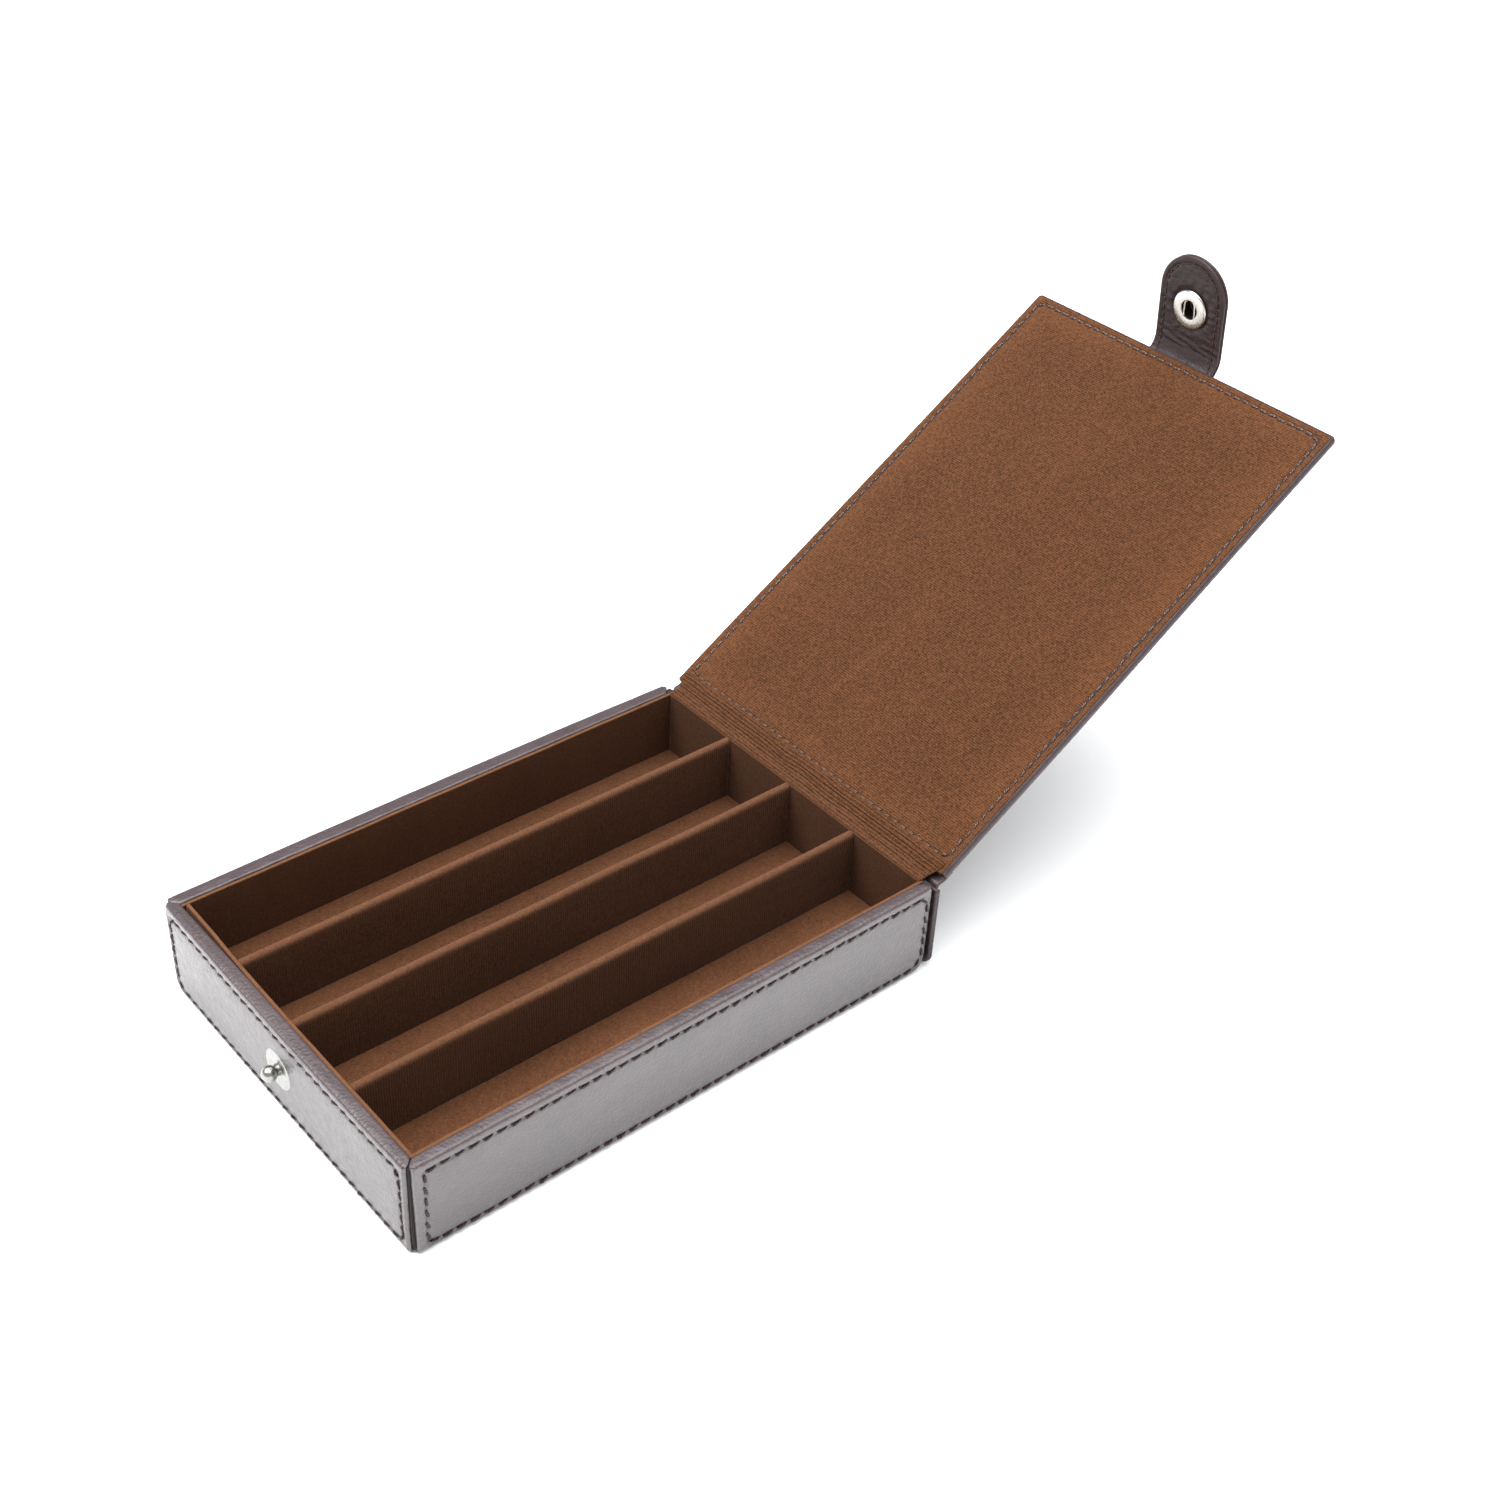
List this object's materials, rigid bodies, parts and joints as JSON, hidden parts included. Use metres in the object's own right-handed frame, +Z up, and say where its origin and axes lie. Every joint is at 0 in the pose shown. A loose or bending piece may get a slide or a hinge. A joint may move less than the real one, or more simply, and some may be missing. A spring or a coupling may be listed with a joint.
{
  "type": "fountain pen case",
  "caption": "Hard-sided leather pen case: suede-lined tray with compartments between dividers, a hinged lid and a tab that snaps onto a stud in the front wall.",
  "frame": {"origin": "centre of the tray's underside", "axes": "+X to the right seen from the stud, +Y from the stud wall towards the hinge, +Z up"},
  "size_m": [0.1124, 0.3086, 0.1473],
  "materials": {
    "case_leather": "semi-gloss grained hide, dark brown with a plum cast",
    "tab_leather": "semi-gloss grained hide, darker",
    "tray_suede": "brushed brown suede cloth",
    "lid_suede": "fine-ribbed warm brown suede cloth",
    "board": "raw pressed board",
    "foam": "open-cell foam",
    "thread": "waxed dark red-brown thread",
    "nickel": "polished nickel",
    "spring_wire": "drawn spring wire"
  },
  "bodies": {
    "tray": {"back_leather": "case_leather", "back_lining": "tray_suede", "back_stitching": "thread", "back_wall_board": "board", "base_board": "board", "base_leather": "case_leather", "divider_core_1": "board", "divider_core_2": "board", "divider_core_3": "board", "divider_suede_1": "tray_suede", "divider_suede_2": "tray_suede", "divider_suede_3": "tray_suede", "floor_foam_1": "foam", "floor_foam_2": "foam", "floor_foam_3": "foam", "floor_foam_4": "foam", "floor_suede_1": "tray_suede", "floor_suede_2": "tray_suede", "floor_suede_3": "tray_suede", "floor_suede_4": "tray_suede", "front_leather": "case_leather", "front_lining": "tray_suede", "front_stitching": "thread", "front_wall_board": "board", "hinge_leather": "case_leather", "hinge_lining": "lid_suede", "left_leather": "case_leather", "left_lining": "tray_suede", "left_stitching": "thread", "left_wall_board": "board", "right_leather": "case_leather", "right_lining": "tray_suede", "right_stitching": "thread", "right_wall_board": "board", "stud_post": "nickel", "stud_rivet": "nickel", "stud_washer": "nickel"},
    "lid": {"lid_leather": "case_leather", "lid_board": "board", "lid_lining": "lid_suede", "lid_stitching": "thread", "tab_root": "tab_leather"},
    "tab": {"tab_inner_leather": "tab_leather", "tab_outer_leather": "tab_leather", "tab_stitching": "thread", "snap_socket": "nickel", "snap_spring": "spring_wire", "snap_cap": "nickel"}
  },
  "joints": [
    {"name": "lid_hinge", "type": "hinge", "parent": "tray", "child": "lid", "pos_m": [0, 0.081, 0.0295], "axis": [1, 0, 0], "range_deg": [-41, 147.74], "deforming": ["hinge_leather", "hinge_lining"]},
    {"name": "tab_hinge", "type": "hinge", "parent": "lid", "child": "tab", "pos_m": [0, 0.22133, 0.1163], "axis": [1, 0, 0], "range_deg": [-90, 27], "deforming": ["tab_root"]}
  ]
}
